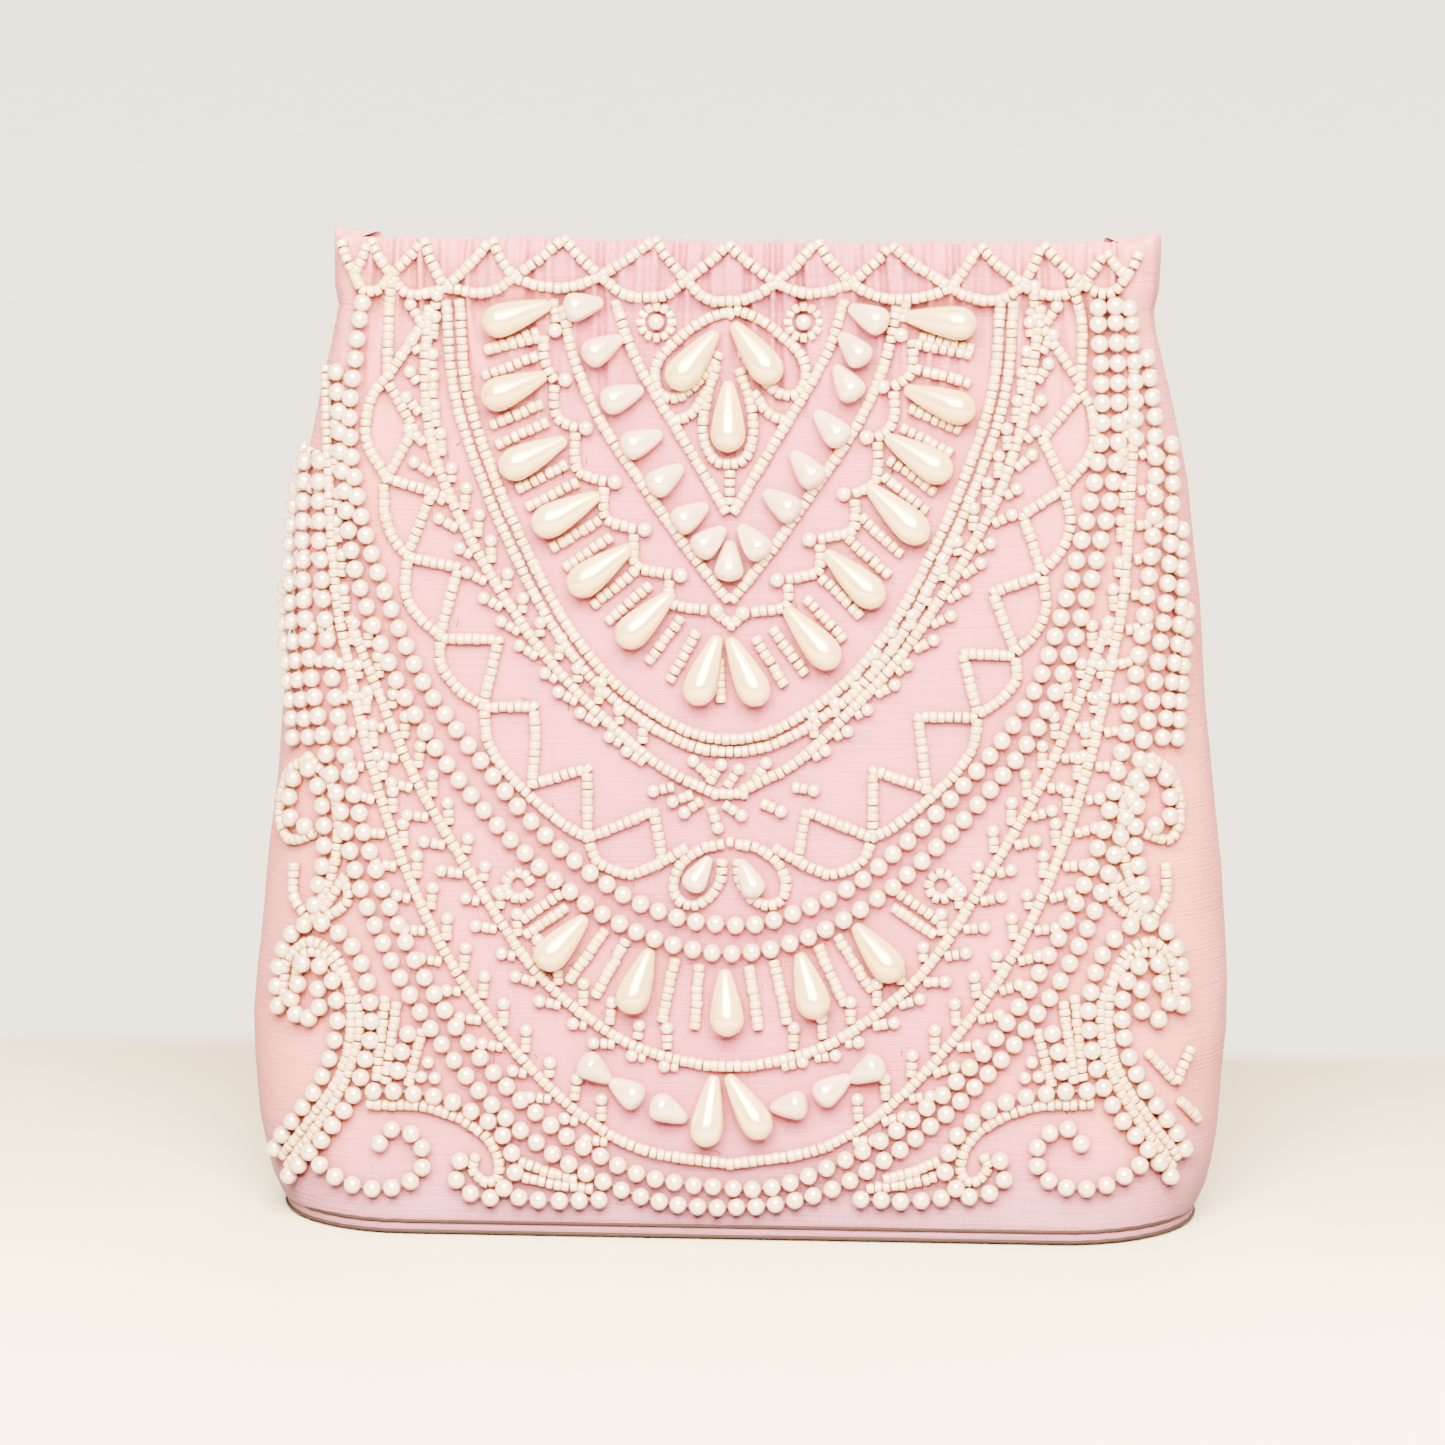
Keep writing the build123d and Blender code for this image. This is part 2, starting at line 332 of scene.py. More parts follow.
def spot(kind, x, z, **words):
    """A single bead at a point of the drawing."""
    put(kind, *on_cloth(x, z), **words)


def put(kind, x, z, tx=1.0, tz=0.0, size=1.0, side=-1, lift=0.0, stretch=1.0):
    """A bead on the cloth. The sizes of both kinds are drawn for every bead, whichever it is."""
    w = half_width(z, x) - 0.25
    x = clamp(x, -w, w)
    scale = {
        "seed": (
            SEED_LONG * size * stretch * rng.uniform(0.9, 1.06), SEED_WIDE * size * rng.uniform(0.93, 1.05)
        ),
        "pearl": (PEARL_WIDE * size * rng.uniform(0.985, 1.015),) * 2,
    }[kind]
    height = scale[1] * 0.47 + lift
    p, n = skin(x, z, height, side)
    t = skin(x + tx * 0.1, z + tz * 0.1, height, side)[0] - skin(x - tx * 0.1, z - tz * 0.1, height, side)[0]
    if t.length < 1e-6:
        t = Vector((1, 0, 0))
    t.normalize()
    wobble = 0.09 if kind == "seed" else 0.5
    t = (t + Vector([rng.uniform(-wobble, wobble) for _ in range(3)])).normalized()
    if kind == "pearl":
        t = Vector((rng.uniform(-1, 1), rng.uniform(-0.3, 0.3), rng.uniform(-1, 1))).normalized()
    (seeds if kind == "seed" else pearls).append((p, t, n, (scale[0], scale[1], scale[1]), x, z, side))


def run_beads(line, kind="seed", pitch=None, size=1.0, side=-1, lift=0.0, start=0.0, jitter=0.06):
    """A strand of beads along a line of the drawing, or of the cloth at the back."""
    pitch = pitch or (SEED_PITCH if kind == "seed" else PEARL_PITCH) * size
    line = [on_cloth(x, z, 0.9 if kind == "seed" else 1.5) if side < 0 else (x, z) for x, z in line]
    cores.append(([skin(x, z, 1.0, side)[0] for x, z in line], line[len(line) // 2], side))
    for x, z, tx, tz in along_skin(line, pitch, side, start):
        put(kind, x + rng.uniform(-jitter, jitter), z + rng.uniform(-jitter, jitter), tx, tz, size, side, lift)


def stitches(text, flip=1):
    """Straight strands of seed beads, mirrored where flip is -1."""
    for points in paths(text):
        run_beads(straight([(flip * x, z) for x, z in points]))


def mirrored(line):
    return [(-x, z) for x, z in line]


def both(line):
    run_beads(line)
    run_beads(mirrored(line))


def shifted(line, amount):
    """The line moved sideways by an amount, to its left."""
    out = []
    for i, (x, z) in enumerate(line):
        a, b = line[max(0, i - 1)], line[min(len(line) - 1, i + 1)]
        dx, dz = unit(b[0] - a[0], b[1] - a[1])
        out.append((x - dz * amount, z + dx * amount))
    return out


def unit(dx, dz):
    size = math.hypot(dx, dz) or 1.0
    return dx / size, dz / size


def sprig(x, z, dx, dz, count=2):
    """A few seed beads with a small pearl at the far end."""
    dx, dz = unit(dx, dz)
    reach = 0.8
    for _ in range(count):
        put("seed", *on_cloth(x + dx * reach, z + dz * reach), dx, dz, 0.97)
        reach += 1.3
    put("pearl", *on_cloth(x + dx * (reach + 0.5), z + dz * (reach + 0.5)), size=0.72)


def vine(line, step, first, last, level, flip=1):
    """A strand with sprigs: upright ones inside, and ones outside that level out lower down."""
    run_beads(line, lift=0.12)
    places = along_drawing(line, step)
    for x, z, tx, tz in places[first : len(places) - last]:
        tx, tz = unit(tx, tz)
        nx, nz = tz * flip, -tx * flip
        rise = level + 0.9 * smooth(z, 128, 156) + rng.uniform(-0.12, 0.12)
        upright = (rng.uniform(-0.08, 0.16), 1.0)
        for (dx, dz), sign, slip in ((upright, -1, 0.0), ((-0.85, rise), 1, 0.5)):
            ax, az = x + tx * step * slip, z + tz * step * slip
            sprig(ax + sign * nx * 1.1, az + sign * nz * 1.1, dx * flip, dz, rng.choice((1, 2, 2, 2)))


def drop(tip, end, radius, cream=1):
    """A teardrop pearl lying on the front from its tip to its round end."""
    length = math.hypot(end[0] - tip[0], end[1] - tip[1]) + 0.35
    tip, end = on_cloth(*tip, radius * 0.6), on_cloth(*end, radius * 0.9)
    dx, dz = unit(end[0] - tip[0], end[1] - tip[1])
    fat = length - radius
    a, _ = skin(tip[0], tip[1], radius * 0.42)
    b, n = skin(tip[0] + dx * fat, tip[1] + dz * fat, radius * 0.94)
    axis = (b - a).normalized()
    drops.append((a, axis, n, (length, radius, radius), tip[0] + dx * fat * 0.5, tip[1] + dz * fat * 0.5, cream))


def lay(drop_ends, radius, cream=1):
    """A drop between each pair of ends."""
    for tip, end in drop_ends:
        drop(tip, end, radius, cream)


# --- the heart in the middle: double strand, two V strands, drops and fingers

U_LINE = path("-48.2,161.5 -46.8,146 -42,131 -36.3,118 -29.3,105 -20.5,94.3 -9,86.6 0,84.6")
U_DENSE = spline(U_LINE + mirrored(reversed(U_LINE[:-1])))
run_beads(shifted(U_DENSE, 1.12))
run_beads(shifted(U_DENSE, -1.12))

both(spline(path("-29,160.5 -27,151.5 -22.5,141 -15.5,130.4 -7.2,118.5 -0.6,110.2")))
both(spline(path("-19.8,161.5 -17.3,153.8 -13.4,146.5 -7,136 -0.8,125.6")))

FANS = {
    1: paths("""
        -31.2,161.2 -42.6,157.4; -32,149 -42.8,144.7; -28.5,137.8 -39.6,132.4; -22.8,128.2 -33.9,122.3;
        -17.2,119.2 -27.6,111.6; -9.9,111.2 -19,102.4; -2.1,103.7 -6.2,92
    """),
    -1: paths("""
        30.3,159.2 42.6,157.6; 30.3,146.6 42.3,142.4; 27.1,138.3 38.1,131.5; 23.8,129.9 33.9,120.5;
        16.5,118.3 26.2,109.4; 9.6,108.5 18.3,98.6; -0.2,103.3 5.4,92
    """),
}
for fan in FANS.values():
    lay(fan, radius=2.95)


def fingers(first, second, count=2, beads=6, gap=2.6):
    """Short strands lying between two drops."""
    (ax, az), (bx, bz) = first
    (cx, cz), (ex, ez) = second
    for k in range(count):
        t = (k + 1) / (count + 1) + rng.uniform(-0.03, 0.03)
        sx, sz = ax + (cx - ax) * t, az + (cz - az) * t
        fx, fz = bx + (ex - bx) * t, bz + (ez - bz) * t
        dx, dz = unit(fx - sx, fz - sz)
        sx, sz = sx + dx * gap, sz + dz * gap
        line = straight([(sx, sz), (sx + dx * beads * 1.45, sz + dz * beads * 1.45)])
        run_beads(line, jitter=0.1)


INNER_PEARLS = {
    1: path("-30.4,156.8 -28.6,148.2 -25,139.8 -20,130.4 -14.8,122.2 -8.6,114.2 -2.3,108"),
    -1: path("29.8,156 26.6,147 23.8,138.2 19.8,128.3 13.8,120.4 8.2,113.4 2.2,107.6"),
}
for flip, fan in FANS.items():
    for first, second in zip(fan, fan[1:]):
        fingers(first, second)
    stitches("-33.6,155.4 -41.8,153.6", flip)
    beside = INNER_PEARLS[flip]
    for x, z in beside:
        spot("pearl", x, z, size=0.82)
    for (ax, az), (bx, bz) in zip(beside, beside[1:]):
        down = (bz - az) / 10.0
        run_beads(spline([
            (ax - flip * 1.9, az - 1.5), (ax - flip * 2.0, az + 5 * down),
            (ax - flip * 1.2, az + 8.2 * down), (bx - flip * 2.2, bz + 0.2),
        ]))
    stitches("-30.6,161.5 -30.2,158.8", flip)
stitches("-1.9,99 -1.6,92.8; -1.6,107 0.4,105.4 1.8,107.2")

HEART = paths("""
    -22.1,161.6 -28.7,160.7; -18.8,155.5 -25.2,152; -15.1,146.6 -22.1,144; -11.8,138.8 -18.6,136.2;
    -8.2,133.1 -13.9,129.2; -3.9,126.4 -9.6,122.9; -0.9,122.4 -5.9,118.2; 0,120.2 -0.2,113.4;
    20.7,160.7 27.1,157.4; 19.1,156.2 23.7,151.3; 18.3,150.6 22.1,145; 14.8,142.6 20,137.4;
    10.8,135.6 15.5,130.1; 5.9,128.7 11.7,124.7; 1.6,122.8 6.1,117.6
""")
lay(HEART, radius=2.55, cream=0)

lay(paths("-2.3,156.6 -10,147.2; 0.4,158.1 8,148.2; -0.3,148 -0.3,136"), radius=3.0)
TREFOIL = path("""
    0.2,159.6 -4,158.8 -8.4,155.8 -12.3,151.8 -13,148.2 -11.6,145.4 -8.8,145.3 -6,147.4 -3.1,150.6
    -1.2,154.4
""")
LOOP = spline(TREFOIL, closed=True)[:-12]
run_beads(LOOP)
run_beads([(0.2 - x, z + 0.4) for x, z in LOOP])
run_beads(spline(path("-2.6,150.2 -4,145 -4.7,139 -3,134.6 -0.2,133.6 2.6,134.6 4,139 3.4,144.5 1.8,149.6")))
stitches("0,131.8 0,127.2")
for flip in (1, -1):
    run_beads(spline([(flip * -4.4, 145.6), (flip * -6.6, 142.4), (flip * -9.2, 141.2)]))
    cx, cz = flip * -12.8, 158.2
    spot("pearl", cx, cz, size=0.86)
    for a in np.linspace(0, 2 * math.pi, 13)[:-1]:
        x, z = cx + 2.7 * math.cos(a), cz + 2.7 * math.sin(a)
        put("seed", *on_cloth(x, z), x - cx, z - cz, 0.7, stretch=1.6)

# --- vines

VINE_TOP = path("""
    -52.4,160.5 -53,148 -51.6,136 -48.2,127 -43.2,117 -37,107 -31.2,99.2 -22.5,89.8 -12,81 -2.5,76.2
""")
VINE_TOP_RIGHT = path("54,160.5 52.6,150 50.6,139.5 47,129 42.5,120 36.5,110 29.6,100 22.5,92.2 12,82 2.5,77")
VINE_P = path("-66,106.5 -62,96 -55,79.5 -45.5,63 -35.5,47.5 -27,39 -16.5,32.3 -5.5,29.2 0,28.8")
VINE_Q = path("""
    -70.2,150 -69.8,133.5 -68.6,112.5 -66.4,99.5 -62.4,81.5 -56.9,64.5 -49.2,48 -39,33.5 -27.3,21.5
    -15.5,14.4 0,11.8
""")
for flip in (1, -1):
    upper = VINE_TOP if flip == 1 else mirrored(VINE_TOP_RIGHT)
    vines = ((upper, 5.2, 0, 3, 0.5), (VINE_P, 5.6, 1, 2, 0.16), (VINE_Q, 6.0, 2, 4, 0.16))
    for points, step, first, last, level in vines:
        vine([(flip * x, z) for x, z in spline(points)], step, first, last, level, flip)

STAR = paths("""
    -6.9,82.4 -3.5,79.3; -1.3,81.6 -3.7,78; 1.9,81 -0.7,77.3; 6.3,81.6 4.3,78.2; -13.3,76.7 -9.5,77.5;
    -10.1,74.8 -6.3,76.2; -8.7,72.4 -4.7,75.2; -2.3,70.9 -3.3,74; 2.1,72.4 -1.3,74.5; 8.7,73.2 5.3,74.7;
    14.5,76.8 10.7,77.4
""")
for (px, pz), (sx, sz) in STAR:
    sprig(sx, sz, px - sx, pz - sz, 2)
stitches("-2.5,76.2 2.5,76.2")

# --- scallops and zigzags round the heart

SCALLOPS = paths("""
    -59,165 -59.4,157 -59.5,149; -59.5,149 -62.6,144.5 -63.2,137.5 -59.6,131;
    -60.2,129.4 -60,124.5 -58.5,120.5 -56,117.5; -56.2,116 -56.4,111 -54.2,107 -50.4,103.7;
    -50.4,102 -50.2,98.4 -47,94.2 -43,91.6; -42.6,90 -42,85 -38.5,79.6 -33,74.2 -28.2,70.4 -24.8,68.6;
    -24.2,67 -22.8,64.2 -18,62.2 -15.2,62.8 -11.7,64.4 -8,66.6
""")
ZIGZAGS = paths("""
    -59.4,149 -52,160; -59,147 -55,139.7 -59.4,131.5; -59.2,131 -48.6,127.6; -52.4,127.2 -56,117.9;
    -55.4,117.2 -47.2,115.6 -50.4,104.2; -49.6,103.2 -40.2,103 -42.8,92.2;
    -42.2,91.2 -34.2,91.4 -33.8,86 -34.4,78; -34,78 -24.8,80.6 -24.8,69.4; -24,68.8 -13.2,73.2 -11.8,65
""")
SCALLOPS_RIGHT = paths("""
    59.6,165 61.2,158 61,147.5; 60.8,146.6 63.2,142 62.8,135.5 58.4,129.8; 58.4,128 59.2,123 57.6,118.5
    54.6,115.2; 54.4,113.4 55,108.4 53.2,104.2 50.1,101.2; 49.7,99.2 49.7,95.8 46.8,92.4 43.8,90.4; 43,88.6
    42.1,84 38.6,79 33.1,74 28.3,70.3 24.9,68.6
""") + [mirrored(SCALLOPS[-1])]
ZIGZAGS_RIGHT = paths("""
    60.4,148.5 52.4,160; 60.2,145 54.4,138 58,130.4; 57.4,128.8 50.9,124.7 54,115.6; 53.5,114 45.7,111.2
    49.4,101.4; 48.8,100.2 40.4,100.6 43,90.8; 42.4,89.4 32.8,89.6 33.4,84 34.2,77; 34,77.2 24.9,80.2
    24.8,69.4
""") + [mirrored(ZIGZAGS[-1])]
for points in SCALLOPS + SCALLOPS_RIGHT:
    run_beads(spline(points))
for points in ZIGZAGS + ZIGZAGS_RIGHT:
    run_beads(straight(points))
both(spline(path("-1.6,67.4 -5,66.6 -8.4,64 -9.8,60.6 -8.8,57.6 -6.2,56.8 -3.4,58.4 -1.6,61.4 -1.4,64.2")))
lay(paths("-3.5,65.2 -7,59.6; 1.8,64.6 4.7,58.6"), radius=2.2, cream=0)
spot("seed", 0, 67.8)

# --- rows of round pearls

ROWS = paths("""
    -64,161.6 -65.2,152 -66.2,141.5 -65.3,130.5 -63.2,120.5 -58.8,108 -53.2,95.2 -44.5,83.5 -35.4,72.4
    -25.3,63.2 -13,55.9 -1,53.4 8.5,54.4 22,60.6 33,70 43,80.2 51.8,92 56.6,104 61.6,122 64.4,136.5 64.6,147
    64,160.8;
    -68.6,149.5 -67.9,140 -67.3,131 -65.1,115 -60.9,102.5 -55.2,90.5 -47.3,78.8 -38.2,68.3 -27.4,58.8
    -15,51.6 -0.5,48.4 13,51 26,58.2 36,67 46,77.6 54,88.6 59.4,101.5 64.6,120.5 67.2,134 67.6,146 67,161;
    -71.4,134 -71.2,117 -69.2,97 -65.6,77 -59.6,57.5 -49.6,38.5 -35.6,22.2 -17.6,10.7 0,7.6 10.5,8.6 29,17.6
    44.5,31.6 56,49 64.6,68.6 69.7,91.5 72.6,112 74,130 73.8,142 72.4,152;
    -74,134 -74.2,112 -72.4,94 -68.4,76 -62.9,56 -52.3,35.8 -38,18.9 -18.8,7.3 -1,4.2 19,8 41,23.6 58.6,45.6
    69,72.6 74.9,102.5 76.8,124 76.8,137
""")
for points in ROWS:
    run_beads(spline(points), kind="pearl", pitch=PEARL_PITCH, jitter=0.08)
SIDE_ROWS = paths("""
    -76.4,133 -76.6,112 -75.4,98 -73.4,86; -78,112 -77.2,99 -76,86; 69.6,160.6 70.4,150 70.6,138;
    78.6,122 78.4,108 77,96 75.2,86; 79.6,108 78.8,97 77.8,86
""")
for points in SIDE_ROWS:
    run_beads(spline(points), kind="pearl", pitch=3.3, jitter=0.1, size=0.96)

# --- the lower fan and the drops at the foot

LOWER = paths("""
    -25,54.8 -33,46.3; -13.9,49.2 -17.9,38.3; -1,45.7 -0.3,34.3; 12,48.5 15.3,37.4; 21.6,53.4 29.2,44.2
""")
lay(LOWER, radius=3.0)
for first, second in zip(LOWER, LOWER[1:]):
    fingers(first, second, beads=7, gap=0.9)
for flip in (1, -1):
    stitches("-29.8,58.6 -35.8,54.5; -28.8,56.2 -35.2,51.9", flip)
    cx, cz = flip * -36.8, 60.2
    run_beads([(cx + 2.2 * math.cos(a), cz + 2.2 * math.sin(a)) for a in np.linspace(0.4, 5.6, 40)])
    spot("pearl", cx - flip * 3.4, cz - 1.0, size=0.76)

FOOT = paths("""
    -20.9,26.2 -25.8,30.1; -20.9,26.2 -15.3,22.8; -7.5,19.4 -13.6,22.6; 7,21.4 13.4,22.4; 20.9,27 15,23.1;
    20.9,26.3 26.6,29.6
""")
lay(FOOT, radius=2.55, cream=0)
lay(paths("-2.8,27.2 -4.4,15.1; -0.5,27.2 6.1,16.7"), radius=2.9)

# --- scrolls at the sides and corners

SCROLLS = {
    "pearl": paths("""
        -73.2,80.6 -71.4,77.2 -70.6,72 -70.6,66 -71.6,60.5 -72.2,57;
        -75.8,79 -76.6,75.4 -76.2,71.6 -73.8,70.6;
        -78.6,39.5 -78.6,44.5 -77.8,49 -75.6,52.6 -72,53.8 -69,52.8 -65.6,49.4 -63.4,45 -62.6,40.2
        -62.4,35.5 -63.4,29.6 -65.2,24.4 -68.4,19.2 -72.6,14.4 -76.6,9.8;
        -74.4,46.6 -71,46.2 -68.8,42.8 -68.2,38.4 -68.8,32.8 -70.8,27.2 -73.8,22.4 -77.2,18 -79,14.6;
        -75,43.2 -76.4,39.4 -74.2,37 -71.6,38.4 -71.6,42.2;
        -62,24.4 -58,24.4 -51,23.4 -44.5,20.8 -39.2,16.4 -37.4,10.2 -39.2,6.8 -32,5.4 -22.8,5.6;
        -47,12.4 -47.6,8.8 -44.6,6.4 -41.6,6;
        -61,15.4 -59,17.8 -55.6,17.2 -53.4,14.2 -53.8,10.6 -56.8,8.2 -62,7.4 -67,8.8 -71.2,11.6;
        -56,34.5 -57.2,31.2 -57.8,28
    """),
    "seed": paths("""
        -73.2,82.6 -76.8,79.6 -78.2,73.2 -76.6,68.4 -72.6,69.2;
        -73,82.4 -69.6,78.5 -68.2,73 -68.4,66 -70,60 -72.2,55; -75.8,63.6 -75.8,58.6 -73.6,54.8;
        -67.2,61.6 -69.8,57.4 -72.2,54.6; -67,61.4 -66.6,57.4 -70.6,54.6;
        -77.6,40.5 -77,46.8 -73.6,50.4 -69.4,49 -66.8,44.6 -65.8,38.5 -66.2,32.5 -68.4,26 -72.2,20.6
        -77.6,13.4;
        -75.8,41.5 -74.6,47.8 -71,48.4 -67.8,45.4 -64.6,39.5 -64.8,33 -66.6,27 -70.4,20.2 -76.6,11.8;
        -62.6,22.3 -59.5,22 -54.5,22 -49,20.6 -45,18.6 -41.8,15.8 -40.2,12.4 -40.6,9.2 -42.8,8.8 -44.8,11
        -44.2,13; -36,12 -31.6,10.4 -27.2,9.2; -35.4,9.4 -30,8.2 -24.4,7.6; -60,40.5 -61.4,27;
        -58,39.5 -59.8,26.6; -53.5,34.8 -55.8,26
    """),
}
for flip in (1, -1):
    for kind, lines in SCROLLS.items():
        for points in lines:
            run_beads([(flip * x, z) for x, z in spline(points)], kind=kind, jitter=0.1, lift=0.1)
    for x, z in ((-52.5, 29.5), (-53.7, 27.0), (-51.3, 26.8)):
        spot("pearl", flip * x, z, size=0.72)
stitches("73,31 77.6,26 80,31.6; 78.6,22.6 81.2,20")

# --- scalloped edging on the hem, front and back

PEAKS = path("""
    -67.8,171.8 -62.6,172 -53.5,172 -41.6,172 -29,172.4 -13.2,172.2 -0.4,171.4 15,171.7 28,171.2 43.4,171
    54.4,171.2 65.4,170 71.6,170.6
""")
NODES = path("""
    -65.4,166.8 -59,166.4 -49.6,164.2 -37.6,166 -22.6,166.3 -7.6,165.5 8,165 21,165 38.4,164.2 51,164.6
    61.4,165 69,166
""")
LOWS = path("""
    -62.8,163.6 -54.2,163 -44,163.3 -30,164.2 -14.4,162.6 -1,161.9 14,163.2 30,162.2 45,162 56.4,162.8
    65,163.2
""")
EDGING_DROP = 4.6
for side in (-1, 1):
    if side > 0:
        PEAKS, NODES, LOWS = (
            [(clamp(-x, -65.5, 65.5), z - EDGING_DROP) for x, z in reversed(row)] for row in (PEAKS, NODES, LOWS)
        )
    for (x, z), left, right in zip(NODES, PEAKS, PEAKS[1:]):
        up = [(px * 0.55 + x * 0.45, (pz + z) / 2 + 0.2) for px, pz in (left, right)]
        run_beads(spline([(left[0] + 0.4, left[1]), up[0], (x, z)]), side=side)
        run_beads(spline([(x, z), up[1], (right[0] - 0.4, right[1])]), side=side, start=0.8)
    for (x, z), left, right in zip(LOWS, NODES, NODES[1:]):
        dip = [((px + x) / 2, z + 0.5) for px, _ in (left, right)]
        run_beads(spline([left, dip[0], (x, z), dip[1], right]), side=side, start=0.9)

# ----- materials


def material(name, **values):
    mat = bpy.data.materials.new(name)
    mat.use_nodes = True
    shader = mat.node_tree.nodes["Principled BSDF"]
    for key, value in values.items():
        socket = shader.inputs[key.replace("_", " ")]
        socket.default_value = (*value, 1) if isinstance(value, tuple) and len(value) == 3 else value
    return mat, mat.node_tree, shader


def add(tree, kind, inputs, output=None):
    """A new node with its inputs set or linked; returns it, or one of its outputs."""
    node = tree.nodes.new("ShaderNode" + kind)
    for key, value in inputs.items():
        fill(tree, node.inputs[key], value)
    return node if output is None else node.outputs[output]


def fill(tree, socket, value):
    if isinstance(value, bpy.types.NodeSocket):
        tree.links.new(value, socket)
    else:
        socket.default_value = (*value, 1) if socket.type == "RGBA" else value


def object_coords(tree, scale=(1, 1, 1)):
    place = tree.nodes.new("ShaderNodeTexCoord").outputs["Object"]
    return add(tree, "Mapping", {"Scale": scale, "Vector": place}, "Vector")


def noise_node(tree, vector, scale, detail=3.0, rough=0.55):
    return add(tree, "TexNoise", {"Scale": scale, "Detail": detail, "Roughness": rough, "Vector": vector}, "Fac")


def ramp(tree, factor, stops):
    node = add(tree, "ValToRGB", {"Fac": factor})
    while len(node.color_ramp.elements) < len(stops):
        node.color_ramp.elements.new(0.5)
    for element, (place, colour) in zip(node.color_ramp.elements, stops):
        element.position = place
        element.color = (*colour, 1)
    return node.outputs["Color"]


def mix(tree, factor, a, b, mode="MIX"):
    node = tree.nodes.new("ShaderNodeMix")
    node.data_type = "RGBA"
    node.blend_type = mode
    for index, value in ((0, factor), (6, a), (7, b)):
        fill(tree, node.inputs[index], value)
    return node.outputs[2]


def multiply(tree, a, b, factor=1.0):
    return mix(tree, factor, a, b, "MULTIPLY")


def math_node(tree, operation, a, b=0.0, limit=False):
    node = tree.nodes.new("ShaderNodeMath")
    node.operation = operation
    node.use_clamp = limit
    fill(tree, node.inputs[0], a)
    fill(tree, node.inputs[1], b)
    return node.outputs[0]


def weighed(tree, a, share_a, b, share_b):
    """The sum of two values, each multiplied by its share."""
    return math_node(
        tree, "ADD", math_node(tree, "MULTIPLY", a, share_a), math_node(tree, "MULTIPLY", b, share_b)
    )


def bump(tree, shader, height, strength, distance):
    normal = add(tree, "Bump", {"Strength": strength, "Distance": distance, "Height": height}, "Normal")
    tree.links.new(normal, shader.inputs["Normal"])


def painted_nook_shade(tree, reach, shade_tint, start):
    """Painted shade: a colour factor that darkens what lies close between or under beads."""
    near = add(tree, "AmbientOcclusion", {"Distance": reach})
    near.samples = 8
    return ramp(tree, near.outputs["AO"], [(start, shade_tint), (0.92, (1.0, 1.0, 1.0))])


def silk(name, middle, edge, foot):
    """Woven silk: two thread directions, long slubs, a tint that changes over the bag, a darker foot that is
    partly painted shade, and painted shade close to the beads.
    """
    mat, tree, shader = material(
        name, Roughness=0.5, Specular_IOR_Level=0.2,
        Sheen_Weight=0.06, Sheen_Roughness=0.4, Sheen_Tint=(1.0, 0.8, 0.85),
    )
    plain = object_coords(tree)
    split = add(tree, "SeparateXYZ", {"Vector": plain})
    across = math_node(tree, "MULTIPLY", math_node(tree, "ABSOLUTE", split.outputs["X"]), 1 / 0.078, True)
    low = math_node(tree, "SUBTRACT", 1.0, math_node(tree, "MULTIPLY", split.outputs["Z"], 1 / 0.022, True), True)
    patch = noise_node(tree, plain, 38.0, 2.0)
    base = mix(tree, math_node(tree, "POWER", across, 2.2), middle, edge)
    # The foot's lilac is partly the silk's own tint and partly painted shade under the bag's bulge.
    base = mix(tree, math_node(tree, "MULTIPLY", low, 0.85), base, foot)
    slub = noise_node(tree, object_coords(tree, (110.0, 110.0, 2600.0)), 1.0, 3.0, 0.6)
    slub_up = noise_node(tree, object_coords(tree, (2400.0, 2400.0, 120.0)), 1.0, 2.0, 0.6)
    threads = weighed(tree, slub, 0.6, slub_up, 0.4)
    shade = ramp(tree, threads, [(0.3, (0.72, 0.62, 0.66)), (0.48, (0.94, 0.92, 0.93)), (0.7, (1.0, 1.0, 1.0))])
    base = multiply(tree, base, shade, 0.75)
    soft = ramp(tree, patch, [(0.3, (0.95, 0.925, 0.93)), (0.7, (1.0, 1.0, 1.0))])
    base = multiply(tree, base, soft, 0.8)
    # painted shade between and under the beads
    base = multiply(tree, base, painted_nook_shade(tree, 0.0045, (0.56, 0.50, 0.42), 0.25))
    tree.links.new(base, shader.inputs["Base Color"])
    rough = math_node(tree, "ADD", 0.46, math_node(tree, "MULTIPLY", threads, 0.2))
    tree.links.new(rough, shader.inputs["Roughness"])
    bump(tree, shader, threads, 0.6, 0.0006)
    return mat


def pearl(name, light, shade, rough, lustre):
    mat, tree, shader = material(
        name, Roughness=rough, Metallic=lustre, Coat_Weight=0.8, Coat_Roughness=0.04, Coat_IOR=1.6
    )
    per_bead = tree.nodes.new("ShaderNodeNewGeometry").outputs["Random Per Island"]
    cloud = noise_node(tree, object_coords(tree), 420.0, 2.0)
    tint = weighed(tree, per_bead, 0.6, cloud, 0.4)
    tone = ramp(tree, tint, [(0.15, shade), (0.75, light)])
    # painted shade where beads lie close together
    tone = multiply(tree, tone, painted_nook_shade(tree, 0.002, (0.62, 0.50, 0.42), 0.2))
    tree.links.new(tone, shader.inputs["Base Color"])
    return mat


def plain_material(name, colour, variation, scale, rough, bump_size=0.0, **values):
    """One colour with soft clouding, and a fine surface where asked."""
    mat, tree, shader = material(name, Roughness=rough, **values)
    cloud = noise_node(tree, object_coords(tree), scale, 4.0)
    darker = tuple(c * (1 - variation) for c in colour)
    tree.links.new(ramp(tree, cloud, [(0.3, darker), (0.7, colour)]), shader.inputs["Base Color"])
    if bump_size:
        bump(tree, shader, cloud, 0.4, bump_size)
    return mat


